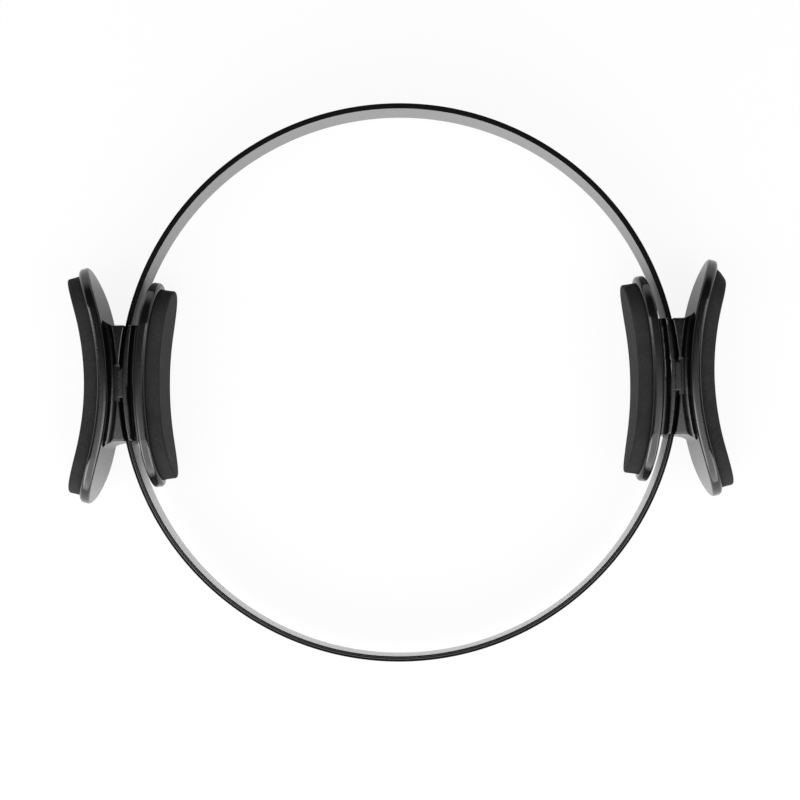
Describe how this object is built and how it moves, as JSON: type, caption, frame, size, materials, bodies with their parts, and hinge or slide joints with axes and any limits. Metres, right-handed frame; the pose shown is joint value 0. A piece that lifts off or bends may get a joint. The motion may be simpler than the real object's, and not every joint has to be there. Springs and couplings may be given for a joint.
{
  "type": "pilates ring",
  "caption": "Flexible exercise ring: a springy laminated hoop with padded, saddle-shaped handles on opposite sides, squeezed between hands or legs as resistance.",
  "frame": {"origin": "centre of the ring, on the surface that it lies on", "axes": "+Z along the hoop's axis, upwards; +X towards the right handle; +Y across, from one bare side of the hoop to the other"},
  "size_m": [0.43, 0.36, 0.06],
  "materials": {
    "hoop_strip": "satin black glass-fibre strip with paler edges between the layers",
    "handle_shell": "semi-gloss black moulded plastic with a fine grain",
    "foam_pad": "matte black closed-cell foam with fine pores",
    "fastener_steel": "zinc-plated steel"
  },
  "bodies": {
    "hoop": {"strip_outer": "hoop_strip", "strip_middle": "hoop_strip", "strip_inner": "hoop_strip"},
    "left_grip": {"left_outer_shell": "handle_shell", "left_inner_shell": "handle_shell", "left_outer_pad": "foam_pad", "left_inner_pad": "foam_pad", "left_screws": "fastener_steel", "left_nuts": "fastener_steel"},
    "right_grip": {"right_outer_shell": "handle_shell", "right_inner_shell": "handle_shell", "right_outer_pad": "foam_pad", "right_inner_pad": "foam_pad", "right_screws": "fastener_steel", "right_nuts": "fastener_steel"}
  },
  "joints": [
    {"name": "left_squeeze", "type": "slide", "parent": "hoop", "child": "left_grip", "axis": [1, 0, 0], "range_m": [-0.02, 0.05], "stiffness_N_per_m": 1400, "deforming": ["strip_outer", "strip_middle", "strip_inner"]},
    {"name": "right_squeeze", "type": "slide", "parent": "hoop", "child": "right_grip", "axis": [-1, 0, 0], "range_m": [-0.02, 0.05], "stiffness_N_per_m": 1400, "deforming": ["strip_outer", "strip_middle", "strip_inner"]}
  ],
  "couplings": [
    {"joint": "right_squeeze", "follows": "left_squeeze", "ratio": 1}
  ]
}
